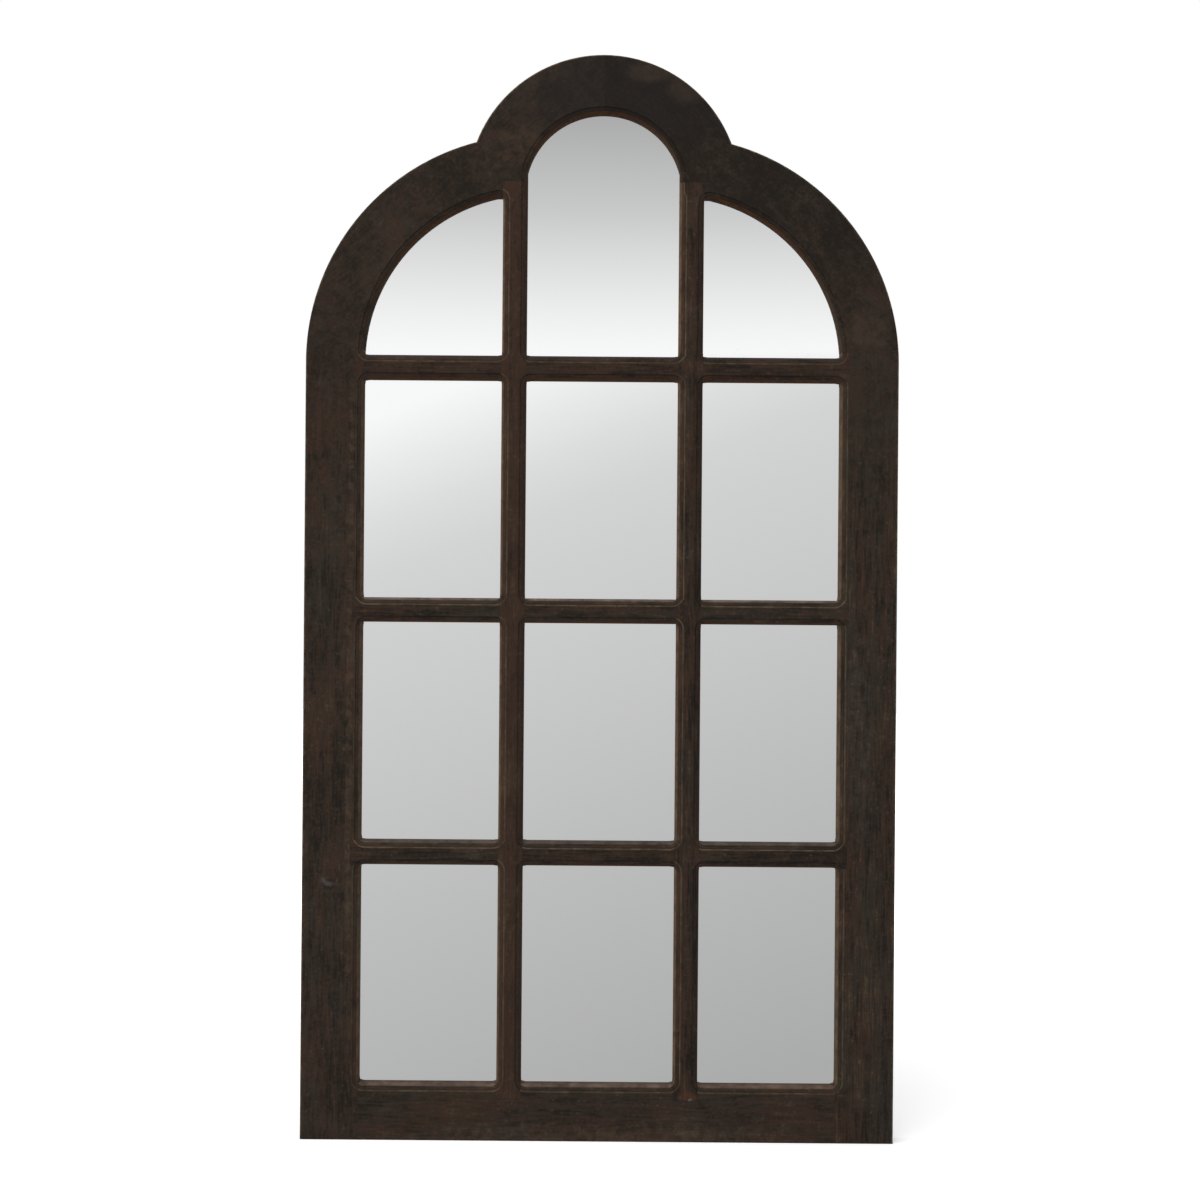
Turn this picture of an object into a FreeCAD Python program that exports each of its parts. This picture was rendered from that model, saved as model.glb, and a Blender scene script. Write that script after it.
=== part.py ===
import FreeCAD, Part
import Sketcher
import math
import os
import re

# Arched wall mirror built like a small window: two stiles, a rail and two arch halves carry
# moulded glazing bars, and twelve mirror panes lie in rebates behind them under one backing board.
# X is to the right, Z is up and the mirror faces -Y. The origin is the middle of the flat foot.

Vector = FreeCAD.Vector
Rotation = FreeCAD.Rotation

SIZES = {
    # front view of the frame
    "frame_width": 600,
    "face_width": 58.6,
    "rail_width": 57,
    "row_height": 221,
    "bar_width": 25,
    "centre_pane": 154,
    "shoulder_radius": 230,
    "spring_rise": 18,
    "crown_lift": 4.9,
    "crown_ease": 2.5,
    "joint_rise": 12,
    # front to back
    "frame_depth": 20,
    "rebate_depth": 9,
    "pane_thickness": 3,
    "board_thickness": 3,
    "arris_radius": 1.2,
    # moulding round each opening
    "ovolo_radius": 5.5,
    "quirk_width": 0.8,
    "quirk_depth": 0.9,
    "router_radius": 5,
    # laps and rebates
    "lap_depth": 7,
    "bar_lap": 10,
    "upright_lap": 15,
    "pane_lap": 8,
    "pane_clearance": 0.5,
    "board_lap": 18,
    "board_clearance": 1,
    # dowels
    "dowel_radius": 3,
    "dowel_length": 40,
    "dowel_depth": 6,
    "dowel_inset": 18,
    "dowel_clearance": 0.1,
    "dowel_end_gap": 0.8,
    # backing screws
    "screw_radius": 1.6,
    "screw_length": 8,
    "screw_head_radius": 3.4,
    "screw_head_height": 2,
    "screw_inset": 6,
    "screw_clearance": 0.1,
    # hangers
    "hanger_drop": 40,
    "strap_width": 13,
    "strap_thickness": 1.2,
    "strap_length": 52,
    "strap_corner": 4,
    "strap_hole_near": 28,
    "strap_hole_far": 43,
    "ring_wire_radius": 1.5,
    "ring_half_width": 10,
    "ring_reach": 20,
    "ring_corner": 3,
    "knuckle_clearance": 0.3,
    "hanger_screw_radius": 1.8,
    "hanger_screw_length": 14,
    "hanger_screw_head_radius": 3.6,
    "hanger_screw_head_height": 2.2,
    # wall bumpers
    "bumper_radius": 10,
    "bumper_thickness": 6.5,
    "bumper_height": 30,
    "bumper_round": 2,
    # how far a cutting tool runs past what it cuts
    "overrun": 2,
}

ROWS = ("bottom", "middle", "upper", "arch")
COLUMNS = ("left", "centre", "right")
SIDES = {"left": -1, "right": 1}
CROSS_BARS = ("lower_cross_bar", "middle_cross_bar", "upper_cross_bar")

DERIVED = {
    "half_width": "frame_width / 2",
    "sight_half": "half_width - face_width",
    "shoulder_x": "half_width - shoulder_radius",
    "shoulder_sight": "shoulder_radius - face_width",
    "crown_sight": "centre_pane / 2 + crown_ease",
    "bar_inner": "centre_pane / 2",
    "bar_outer": "bar_inner + bar_width",
    "row_pitch": "row_height + bar_width",
    "arch_foot": f"rail_width + {len(CROSS_BARS)} * row_pitch",
    "springline": "arch_foot - bar_width + spring_rise",
    "stile_height": "springline + joint_rise",
    "upright_top": "springline + sqrt(shoulder_sight ^ 2 - (bar_outer - shoulder_x) ^ 2)",
    "crown_height": "upright_top + crown_lift",
    "frame_height": "crown_height + crown_sight + face_width",
    "front_face": "-frame_depth / 2",
    "back_face": "frame_depth / 2",
    "lap_face": "front_face + lap_depth",
    "mirror_face": "front_face + rebate_depth",
    "board_face": "mirror_face + pane_thickness",
    "board_back": "board_face + board_thickness",
    "bar_depth": "rebate_depth + pane_thickness",
    "recess_lap": "board_lap + board_clearance",
    "rebate_lap": "pane_lap + pane_clearance",
    "screw_line": "board_lap - screw_inset",
    "dowel_face": "front_face + dowel_depth",
    "knuckle_bore": "ring_wire_radius + knuckle_clearance",
    "knuckle_radius": "knuckle_bore + strap_thickness",
    "hanger_x": "(sight_half + recess_lap + half_width) / 2",
    "hanger_height": "stile_height - hanger_drop",
    "hanger_axis": "back_face + knuckle_radius",
}

# places of the backing screws: along the foot, up the sides, and by angle round the arcs
FOOT_SCREW_SHARES = (-0.6, 0, 0.6)
SIDE_SCREW_SHARES = (0.12, 0.37, 0.62, 0.87)
SHOULDER_SCREW_ANGLES = (30, 62)
CROWN_SCREW_ANGLES = (48, 132)
# cross recess of a screw head, as shares of the head's radius and height
RECESS_LENGTH_SHARE = 1.2
RECESS_WIDTH_SHARE = 0.22
RECESS_DEPTH_SHARE = 0.55
HEAD_EDGE_SHARE = 0.45
TIP_SHARE = 0.3
# height of the rolled strap's lip below the ring's bar, as a share of the roll's radius
LIP_SHARE = 0.87
# how far along each axis half of a quarter turn reaches, as a share of its radius
DIAGONAL_SHARE = math.sqrt(0.5)
# two coordinates that differ by less than this are the same
SAME = 1e-6

ALIASES = set(SIZES) | set(DERIVED)

doc = FreeCAD.newDocument("arched_mirror")
sheet = doc.addObject("Spreadsheet::Sheet", "sizes")
parts = {}


def fill_sheet():
    """Write the driving sizes and then what follows from them, one alias to a row."""
    cells = [(name, str(number)) for name, number in SIZES.items()]
    cells += [(name, "=" + formula) for name, formula in DERIVED.items()]
    for row, (name, content) in enumerate(cells, start=1):
        sheet.set(f"A{row}", name)
        sheet.set(f"B{row}", content)
        sheet.setAlias(f"B{row}", name)
    doc.recompute()


def bound(text):
    """An expression on the sheet, from a formula that names sizes plainly."""
    return re.sub(r"[a-z][a-z_]+", lambda word: ("sizes." if word[0] in ALIASES else "") + word[0], text)


def size(text):
    """The number that a formula on the sheet gives."""
    return float(sheet.evalExpression(bound(text)))


def bind(item, formulas):
    """Tie properties of a document object to the sheet."""
    for name, formula in formulas.items():
        item.setExpression(name, bound(formula))
    return item


def place(item, x, y, z, rotation=Rotation()):
    """Give a document object its Placement, with the three coordinates tied to the sheet."""
    item.Placement = FreeCAD.Placement(Vector(), rotation)
    spots = {"Placement.Base.x": x, "Placement.Base.y": y, "Placement.Base.z": z}
    return bind(item, spots)


def box(name, low, extent):
    """A block from its low corner and its extent, both given as formulas."""
    item = doc.addObject("Part::Box", name)
    bind(item, dict(zip(("Length", "Width", "Height"), extent)))
    return place(item, *low)


AXIS_TURNS = {
    "x": Rotation(Vector(0, 1, 0), 90),
    "y": Rotation(Vector(1, 0, 0), -90),
    "z": Rotation(),
}


def rod(name, axis, foot, radius, length):
    """A cylinder from the centre of its foot along one axis."""
    item = doc.addObject("Part::Cylinder", name)
    bind(item, {"Radius": radius, "Height": length})
    return place(item, *foot, AXIS_TURNS[axis])


def joined(kind, name, shapes):
    """A compound or a fusion of several document objects."""
    item = doc.addObject(kind, name)
    setattr(item, "Links" if kind == "Part::Compound" else "Shapes", shapes)
    return item


def cut(name, base, *tools):
    """A base with one tool after another taken out of it."""
    for number, tool in enumerate(tools, start=1):
        item = doc.addObject("Part::Cut", f"{name}_cut_{number}")
        item.Base = base
        item.Tool = tool
        base = item
    return base


def overlap(name, base, tool):
    """What two document objects have in common."""
    item = doc.addObject("Part::Common", name)
    item.Base = base
    item.Tool = tool
    return item


def solid_feature(name, shape):
    """A document object for a shape made by Part's own functions."""
    item = doc.addObject("Part::Feature", name)
    item.Shape = shape
    return item


def keep(name, item):
    """Name a finished sub-part: its label names its file."""
    item.Label = name
    parts[name] = item
    return item


def signed(side, formula):
    """A formula for the left or the right half of the mirror."""
    return formula if side > 0 else f"-({formula})"


# Arched outlines of the frame, the board and its recess


def origin_plane(body, role):
    return next(item for item in body.Origin.OriginFeatures if item.Role == role)


def new_sketch(body, name, role):
    sketch = body.newObject("Sketcher::SketchObject", name)
    sketch.AttachmentSupport = (origin_plane(body, role), [""])
    sketch.MapMode = "FlatFace"
    return sketch


def drive(sketch, name, rule, formula):
    """Add a named dimension that the sheet drives."""
    index = sketch.addConstraint(Sketcher.Constraint(*rule, size(formula)))
    sketch.renameConstraint(index, name)
    sketch.setExpression(f"Constraints.{name}", bound(formula))


def arc(centre, radius, start, end):
    circle = Part.Circle(Vector(*centre, 0), Vector(0, 0, 1), radius)
    return Part.ArcOfCircle(circle, start, end)


def line(start, end):
    return Part.LineSegment(Vector(*start, 0), Vector(*end, 0))


def arched_sketch(body, name, reach, foot_height):
    """Two sides, two shoulders and a crown the same reach outside the panes, on a foot at its own height."""
    half = size(f"sight_half + {reach}")
    foot = size(foot_height)
    spring = size("springline")
    shoulder = (size("shoulder_x"), spring)
    shoulder_radius = size(f"shoulder_sight + {reach}")
    crown = (0, size("crown_height"))
    crown_radius = size(f"crown_sight + {reach}")
    # the notch lies where the shoulder's circle meets the crown's
    gap = math.dist(shoulder, crown)
    slope = math.atan2(crown[1] - shoulder[1], crown[0] - shoulder[0])
    along = (gap**2 + shoulder_radius**2 - crown_radius**2) / (2 * gap)
    turn = slope - math.acos(along / shoulder_radius)
    notch_x = shoulder[0] + shoulder_radius * math.cos(turn)
    notch_z = shoulder[1] + shoulder_radius * math.sin(turn)
    crown_turn = math.atan2(notch_z - crown[1], notch_x)
    sketch = new_sketch(body, name, "XZ_Plane")
    sketch.addGeometry(line((-half, foot), (half, foot)))
    sketch.addGeometry(line((half, foot), (half, spring)))
    sketch.addGeometry(arc(shoulder, shoulder_radius, 0, turn))
    sketch.addGeometry(arc(crown, crown_radius, crown_turn, math.pi - crown_turn))
    sketch.addGeometry(arc((-shoulder[0], spring), shoulder_radius, math.pi - turn, math.pi))
    sketch.addGeometry(line((-half, spring), (-half, foot)))
    rules = [("Coincident", 0, 2, 1, 1), ("Tangent", 1, 2, 2, 1), ("Coincident", 2, 2, 3, 1)]
    rules += [("Coincident", 3, 2, 4, 1), ("Tangent", 4, 2, 5, 1), ("Coincident", 5, 2, 0, 1)]
    rules += [("Vertical", 1), ("Vertical", 5), ("Symmetric", 0, 1, 0, 2, -2)]
    rules += [("Horizontal", 1, 2, 5, 1), ("Equal", 2, 4), ("PointOnObject", 3, 3, -2)]
    for rule in rules:
        sketch.addConstraint(Sketcher.Constraint(*rule))
    drive(sketch, "width", ("DistanceX", 0, 1, 0, 2), f"2 * (sight_half + {reach})")
    drive(sketch, "foot", ("DistanceY", -1, 1, 0, 1), foot_height)
    drive(sketch, "spring", ("DistanceY", -1, 1, 1, 2), "springline")
    drive(sketch, "shoulder", ("Radius", 2), f"shoulder_sight + {reach}")
    drive(sketch, "crown_centre", ("DistanceY", -1, 1, 3, 3), "crown_height")
    drive(sketch, "crown", ("Radius", 3), f"crown_sight + {reach}")
    return sketch


def arched_plate(name, reach, foot_height, low, thickness):
    """A plate of the arched outline, from its front plane towards the back."""
    body = doc.addObject("PartDesign::Body", name)
    sketch = arched_sketch(body, f"{name}_outline", reach, foot_height)
    pad = body.newObject("PartDesign::Pad", f"{name}_pad")
    pad.Profile = sketch
    pad.Reversed = True
    bind(pad, {"Length": thickness})
    place(body, "0", low, "0")
    doc.recompute()
    return body


def ease_front_edges(body):
    """Round the arris that runs round the front of the frame."""
    pad = body.Tip
    front = min(vertex.Y for vertex in pad.Shape.Vertexes)
    names = []
    for number, edge in enumerate(pad.Shape.Edges, start=1):
        if all(abs(vertex.Y - front) < SAME for vertex in edge.Vertexes):
            names.append(f"Edge{number}")
    fillet = body.newObject("PartDesign::Fillet", "front_arris")
    fillet.Base = (pad, names)
    bind(fillet, {"Radius": "arris_radius"})
    doc.recompute()


# Openings: sight, moulding and rebate of each pane


def opening_outline(column, row, reach):
    """Closed wire round one opening, spread outward by reach, in the plane of the front."""
    spread = size(reach)
    side = column - 1
    foot = size("rail_width") + row * size("row_pitch") - spread
    near = size("bar_outer") - spread if side else -size("bar_inner") - spread
    far = size("sight_half") + spread if side else size("bar_inner") + spread
    arched = ROWS[row] == "arch"
    if not arched:
        head = foot + size("row_height") + 2 * spread
        points = [(near, foot), (far, foot), (far, head), (near, head)]
        edges = [Part.LineSegment(flat(*a), flat(*b)) for a, b in zip(points, points[1:] + points[:1])]
    elif side:
        centre = (size("shoulder_x"), size("springline"))
        radius = size("shoulder_sight") + spread
        corner = (centre[0] + math.sqrt(radius**2 - (foot - centre[1]) ** 2), foot)
        top = (near, centre[1] + math.sqrt(radius**2 - (near - centre[0]) ** 2))
        edges = [Part.LineSegment(flat(near, foot), flat(*corner)), bow(corner, top, centre, radius)]
        edges.append(Part.LineSegment(flat(*top), flat(near, foot)))
    else:
        centre = (0, size("crown_height"))
        radius = size("crown_sight") + spread
        rise = centre[1] + math.sqrt(radius**2 - far**2)
        edges = [Part.LineSegment(flat(near, foot), flat(far, foot))]
        edges.append(Part.LineSegment(flat(far, foot), flat(far, rise)))
        edges.append(bow((far, rise), (near, rise), centre, radius))
        edges.append(Part.LineSegment(flat(near, rise), flat(near, foot)))
    wire = Part.Wire([edge.toShape() for edge in edges])
    return wire.mirror(Vector(), Vector(1, 0, 0)) if side < 0 else wire


def flat(x, z):
    return Vector(x, 0, z)


def bow(start, end, centre, radius):
    """The upper arc from one point to another round a centre."""
    first = math.atan2(start[1] - centre[1], start[0] - centre[0])
    last = math.atan2(end[1] - centre[1], end[0] - centre[0])
    middle = (first + last) / 2
    peak = flat(centre[0] + radius * math.cos(middle), centre[1] + radius * math.sin(middle))
    return Part.Arc(flat(*start), peak, flat(*end))


def prism(wire, low, high):
    """A wire of the front plane filled and carried from one depth to another."""
    block = Part.Face(wire).extrude(Vector(0, high - low, 0))
    block.translate(Vector(0, low, 0))
    return block


def moulding_ring(wire):
    """What a router takes off round an opening: a small step, then a quarter round."""
    router = size("router_radius")
    rounded = Part.Face(wire).makeOffset2D(-router).makeOffset2D(router).OuterWire
    path = Part.Wire(rounded.OrderedEdges)
    first = path.OrderedEdges[0]
    start = first.valueAt(first.FirstParameter)
    heading = first.tangentAt(first.FirstParameter)
    if first.Orientation == "Reversed":
        start = first.valueAt(first.LastParameter)
        heading = first.tangentAt(first.LastParameter) * -1
    outward = heading.cross(Vector(0, 1, 0))
    middle = path.BoundBox.Center
    if outward.dot(start - middle) < 0:
        outward = outward * -1
    radius = size("ovolo_radius")
    step = size("quirk_depth")
    width = radius + size("quirk_width")
    inner = router / 2
    front = size("front_face")

    def spot(offset, depth):
        return start + outward * offset + Vector(0, front + depth, 0)

    lean = radius * DIAGONAL_SHARE
    bulge = spot(radius - lean, step + radius - lean)
    quarter = Part.Arc(spot(radius, step), bulge, spot(0, step + radius))
    corners = [spot(0, step + radius), spot(-inner, step + radius), spot(-inner, -size("overrun"))]
    corners += [spot(width, -size("overrun")), spot(width, step), spot(radius, step)]
    edges = [Part.LineSegment(a, b).toShape() for a, b in zip(corners, corners[1:])]
    profile = Part.Wire(edges + [quarter.toShape()])
    path.translate(Vector(0, front, 0))
    profile_area = Part.Face(profile).Area
    ring = path.makePipeShell([profile], True, False)
    return ring, profile_area * path.Length


def opening_cutter(column, row):
    """Everything that one opening takes out of the timber round it."""
    name = f"opening_{ROWS[row]}_{COLUMNS[column]}"
    overrun = size("overrun")
    outline = opening_outline(column, row, "0")
    sight = prism(outline, size("front_face") - overrun, size("back_face") + overrun)
    ring, expected = moulding_ring(outline)
    rebate_outline = opening_outline(column, row, "rebate_lap")
    rebate = prism(rebate_outline, size("mirror_face"), size("back_face") + overrun)
    cutter = sight.fuse([ring, rebate]).removeSplitter()
    print(f"{name}: moulding {ring.Volume:.0f} mm3, {ring.Volume / expected:.3f} of section times length")
    return solid_feature(name, cutter)


def mirror_pane(column, row):
    """One pane: a plain block, which in the top row keeps only what lies within the arched plate."""
    name = f"mirror_{ROWS[row]}_{COLUMNS[column]}"
    arched = ROWS[row] == "arch"
    low = ("-(sight_half + pane_lap)", "-(bar_inner + pane_lap)", "bar_outer - pane_lap")[column]
    width = "centre_pane" if COLUMNS[column] == "centre" else "sight_half - bar_outer"
    foot = f"rail_width + {row} * row_pitch - pane_lap"
    height = "frame_height - arch_foot" if arched else "row_height"
    extent = (f"{width} + 2 * pane_lap", "pane_thickness", f"{height} + 2 * pane_lap")
    pane = box(f"{name}_block" if arched else name, (low, "mirror_face", foot), extent)
    if arched:
        pane = overlap(name, arched_pane_plate, pane)
    keep(name, pane)


# Glazing bars


def upright_blank(label, side):
    """A bar from rail to arch, with a thin tongue at each end."""
    low = "bar_inner" if side > 0 else "-bar_outer"
    length = "upright_top - rail_width"
    shank = box(f"{label}_shank", (low, "front_face", "rail_width"), ("bar_width", "bar_depth", length))
    tongue_low = (low, "front_face", "rail_width - upright_lap")
    tongue = box(f"{label}_tongue", tongue_low, ("bar_width", "lap_depth", f"{length} + 2 * upright_lap"))
    return joined("Part::MultiFuse", f"{label}_blank", [shank, tongue])


def cross_blank(label, number):
    """A bar from stile to stile, with a thin tongue at each end."""
    foot = f"rail_width + {number + 1} * row_pitch - bar_width"
    shank_extent = ("2 * sight_half", "bar_depth", "bar_width")
    shank = box(f"{label}_shank", ("-sight_half", "front_face", foot), shank_extent)
    tongue_extent = ("2 * (sight_half + bar_lap)", "lap_depth", "bar_width")
    tongue = box(f"{label}_tongue", ("-(sight_half + bar_lap)", "front_face", foot), tongue_extent)
    return joined("Part::MultiFuse", f"{label}_blank", [shank, tongue])


def lap_blocks():
    """Half of each crossing: the uprights keep the front, the cross bars keep the back."""
    behind = []
    before = []
    for side_name, side in SIDES.items():
        low = "bar_inner" if side > 0 else "-bar_outer"
        for number in range(len(CROSS_BARS)):
            foot = f"rail_width + {number + 1} * row_pitch - bar_width"
            spot = f"{side_name}_{number}"
            wide = "bar_width + 2 * overrun"
            back_extent = (wide, "bar_depth - lap_depth + overrun", "bar_width")
            back_low = (f"{low} - overrun", "lap_face", foot)
            behind.append(box(f"lap_behind_{spot}", back_low, back_extent))
            front_low = (low, "front_face - overrun", f"{foot} - overrun")
            before.append(box(f"lap_before_{spot}", front_low, ("bar_width", "lap_depth + overrun", wide)))
    return joined("Part::Compound", "laps_behind", behind), joined("Part::Compound", "laps_before", before)


# Dowels, screws and their holes


def dowel_spots():
    """Axis, centre and node of every dowel, as formulas."""
    spots = []
    edges = ("dowel_inset", "face_width - dowel_inset")
    for side in SIDES.values():
        for height in ("dowel_inset", "rail_width - dowel_inset"):
            spots.append(("corner_dowels", "x", (signed(side, "sight_half"), "dowel_face", height)))
        for edge in edges:
            across = signed(side, f"half_width - ({edge})")
            spots.append(("arch_dowels", "z", (across, "dowel_face", "stile_height")))
    for edge in edges:
        spots.append(("crown_dowels", "x", ("0", "dowel_face", f"frame_height - ({edge})")))
    return spots


def dowels_and_holes():
    """The dowel groups, and one bore for each dowel."""
    groups = {}
    holes = []
    for number, (group, axis, centre) in enumerate(dowel_spots()):
        at = "xyz".index(axis)
        for label, radius, length in (
            ("dowel", "dowel_radius", "dowel_length"),
            ("bore", "dowel_radius + dowel_clearance", "dowel_length + 2 * dowel_end_gap"),
        ):
            foot = list(centre)
            foot[at] = f"{centre[at]} - ({length}) / 2"
            item = rod(f"{label}_{number}", axis, foot, radius, length)
            if label == "bore":
                holes.append(item)
            else:
                groups.setdefault(group, []).append(item)
    for name, items in groups.items():
        keep(name, joined("Part::Compound", name, items))
    return holes


def backing_screw_spots():
    """Points on the back of the board, a fixed way outside the panes."""
    line_out = size("screw_line")
    foot = size("rail_width")
    spring = size("springline")
    half = size("sight_half")
    points = [(share * half, foot - line_out) for share in FOOT_SCREW_SHARES]
    for side in SIDES.values():
        edge = side * (half + line_out)
        points += [(edge, foot + share * (spring - foot)) for share in SIDE_SCREW_SHARES]
        for angle in SHOULDER_SCREW_ANGLES:
            reach = size("shoulder_sight") + line_out
            x = size("shoulder_x") + reach * math.cos(math.radians(angle))
            points.append((side * x, spring + reach * math.sin(math.radians(angle))))
    for angle in CROWN_SCREW_ANGLES:
        reach = size("crown_sight") + line_out
        x = reach * math.cos(math.radians(angle))
        points.append((x, size("crown_height") + reach * math.sin(math.radians(angle))))
    return [Vector(x, size("board_back"), z) for x, z in points]


def hanger_screw_spots():
    """Two points on each strap."""
    seat = size("back_face + strap_thickness")
    points = []
    for side in SIDES.values():
        for drop in ("strap_hole_near", "strap_hole_far"):
            points.append(Vector(side * size("hanger_x"), seat, size(f"hanger_height - {drop}")))
    return points


def screw_solid(prefix):
    """A round-headed screw that points into the timber, with its seat at the origin."""
    radius = size(f"{prefix}_radius")
    length = size(f"{prefix}_length")
    head = size(f"{prefix}_head_radius")
    height = size(f"{prefix}_head_height")
    rim = height * HEAD_EDGE_SHARE
    tip = length * TIP_SHARE
    corners = [(0, -length), (radius, tip - length), (radius, 0), (head, 0), (head, rim)]
    corners = [Vector(x, 0, z) for x, z in corners]
    edges = [Part.LineSegment(a, b).toShape() for a, b in zip(corners, corners[1:])]
    # the dome is the arc through the rim and the crown of the head
    rise = height - rim
    dome = (head**2 + rise**2) / (2 * rise)
    half_angle = math.asin(head / dome) / 2
    shoulder = Vector(dome * math.sin(half_angle), 0, height - dome + dome * math.cos(half_angle))
    edges.append(Part.Arc(corners[-1], shoulder, Vector(0, 0, height)).toShape())
    edges.append(Part.LineSegment(Vector(0, 0, height), corners[0]).toShape())
    solid = Part.Face(Part.Wire(edges)).revolve(Vector(), Vector(0, 0, 1), 360)
    long = head * RECESS_LENGTH_SHARE
    wide = head * RECESS_WIDTH_SHARE
    deep = height * RECESS_DEPTH_SHARE
    for across, along in ((long, wide), (wide, long)):
        corner = Vector(-across / 2, -along / 2, height - deep)
        solid = solid.cut(Part.makeBox(across, along, height, corner))
    return solid


def screw_group(name, prefix, spots):
    """Separate screws of one kind, all driven forward into the timber, and their pilot holes."""
    screw = screw_solid(prefix)
    screws = []
    holes = []
    reach = size(f"{prefix}_length + overrun")
    for spot in spots:
        copy = screw.copy()
        copy.Placement = FreeCAD.Placement(spot, AXIS_TURNS["y"])
        screws.append(copy)
        mouth = spot + Vector(0, size("overrun"), 0)
        bore = size(f"{prefix}_radius + screw_clearance")
        holes.append(Part.makeCylinder(bore, reach + size("overrun"), mouth, Vector(0, -1, 0)))
    keep(name, solid_feature(name, Part.makeCompound(screws)))
    return solid_feature(f"{name}_holes", Part.makeCompound(holes))


# Hangers and bumpers


def strap_body(name, side):
    """A strip of sheet rolled round the ring's bar at its upper end."""
    body = doc.addObject("PartDesign::Body", f"{name}_body")
    sketch = new_sketch(body, f"{name}_roll", "YZ_Plane")
    outer = size("knuckle_radius")
    inner = size("knuckle_bore")
    length = size("strap_length")
    lip = math.asin(LIP_SHARE) - math.pi
    cap = [(radius * math.cos(lip), radius * math.sin(lip)) for radius in (outer, inner)]
    sketch.addGeometry(line((-outer, -length), (-outer, 0)))
    sketch.addGeometry(arc((0, 0), outer, lip, math.pi))
    sketch.addGeometry(line(cap[0], cap[1]))
    sketch.addGeometry(arc((0, 0), inner, lip, math.pi))
    sketch.addGeometry(line((-inner, 0), (-inner, -length)))
    sketch.addGeometry(line((-inner, -length), (-outer, -length)))
    rules = [("Coincident", 1, 3, -1, 1), ("Coincident", 3, 3, -1, 1)]
    rules += [("Tangent", 0, 2, 1, 2), ("Tangent", 4, 1, 3, 2), ("Vertical", 0), ("Vertical", 4)]
    rules += [("Coincident", 1, 1, 2, 1), ("Coincident", 2, 2, 3, 1), ("PointOnObject", -1, 1, 2)]
    rules += [("Coincident", 4, 2, 5, 1), ("Coincident", 5, 2, 0, 1), ("Horizontal", 5)]
    for rule in rules:
        sketch.addConstraint(Sketcher.Constraint(*rule))
    drive(sketch, "outer_radius", ("Radius", 1), "knuckle_radius")
    drive(sketch, "bore_radius", ("Radius", 3), "knuckle_bore")
    drive(sketch, "length", ("DistanceY", 0, 1, 0, 2), "strap_length")
    drive(sketch, "lip", ("DistanceY", 1, 1, -1, 1), f"knuckle_radius * {LIP_SHARE}")
    pad = body.newObject("PartDesign::Pad", f"{name}_pad")
    pad.Profile = sketch
    pad.Midplane = True
    bind(pad, {"Length": "strap_width"})
    doc.recompute()
    foot = min(vertex.Z for vertex in pad.Shape.Vertexes)
    names = []
    for number, edge in enumerate(pad.Shape.Edges, start=1):
        ends = edge.Vertexes
        if all(abs(vertex.Z - foot) < SAME for vertex in ends) and abs(ends[0].X - ends[-1].X) < SAME:
            names.append(f"Edge{number}")
    fillet = body.newObject("PartDesign::Fillet", f"{name}_corners")
    fillet.Base = (pad, names)
    bind(fillet, {"Radius": "strap_corner"})
    place(body, signed(side, "hanger_x"), "hanger_axis", "hanger_height")
    doc.recompute()
    return body


def ring_solid():
    """A wire bent into a D: a bar, two arms and a half round, hanging from its bar."""
    half = size("ring_half_width")
    bend = size("ring_corner")
    arm = size("ring_half_width - ring_reach")
    lean = bend * (1 - DIAGONAL_SHARE)
    edges = []
    edges.append(Part.LineSegment(flat(0, 0), flat(half - bend, 0)))
    edges.append(Part.Arc(flat(half - bend, 0), flat(half - lean, -lean), flat(half, -bend)))
    edges.append(Part.LineSegment(flat(half, -bend), flat(half, arm)))
    edges.append(Part.Arc(flat(half, arm), flat(0, arm - half), flat(-half, arm)))
    edges.append(Part.LineSegment(flat(-half, arm), flat(-half, -bend)))
    edges.append(Part.Arc(flat(-half, -bend), flat(lean - half, -lean), flat(bend - half, 0)))
    edges.append(Part.LineSegment(flat(bend - half, 0), flat(0, 0)))
    path = Part.Wire([edge.toShape() for edge in edges])
    wire_radius = size("ring_wire_radius")
    section = Part.Wire(Part.makeCircle(wire_radius, Vector(), Vector(1, 0, 0)))
    ring = path.makePipeShell([section], True, False)
    expected = math.pi * wire_radius**2 * path.Length
    print(f"hanger ring: {ring.Volume:.1f} mm3, {ring.Volume / expected:.3f} of section times length")
    return ring


def hanger(side_name, side, strap_holes):
    strap = f"{side_name}_hanger_strap"
    keep(strap, cut(strap, strap_body(strap, side), strap_holes))
    name = f"{side_name}_hanger_ring"
    ring = solid_feature(name, ring_solid())
    place(ring, signed(side, "hanger_x"), "hanger_axis", "hanger_height")
    keep(name, ring)


def wall_bumper(side_name, side):
    """A turned rubber foot, flat on the side of the wall."""
    name = f"{side_name}_wall_bumper"
    foot = (signed(side, "hanger_x"), "back_face", "bumper_height")
    blank = rod(f"{name}_blank", "y", foot, "bumper_radius", "bumper_thickness")
    doc.recompute()
    top = max(range(len(blank.Shape.Edges)), key=lambda n: blank.Shape.Edges[n].CenterOfMass.y)
    rounded = doc.addObject("Part::Fillet", f"{name}_rounded")
    rounded.Base = blank
    radius = size("bumper_round")
    rounded.Edges = [(top + 1, radius, radius)]
    keep(name, rounded)


# Frame members


def member(name, low, extent, *tools):
    """A length of the frame between its joints, with everything cut out of it."""
    region = box(f"{name}_region", low, extent)
    blank = overlap(f"{name}_blank", frame_blank, region)
    keep(name, cut(name, blank, *tools))


fill_sheet()

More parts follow.
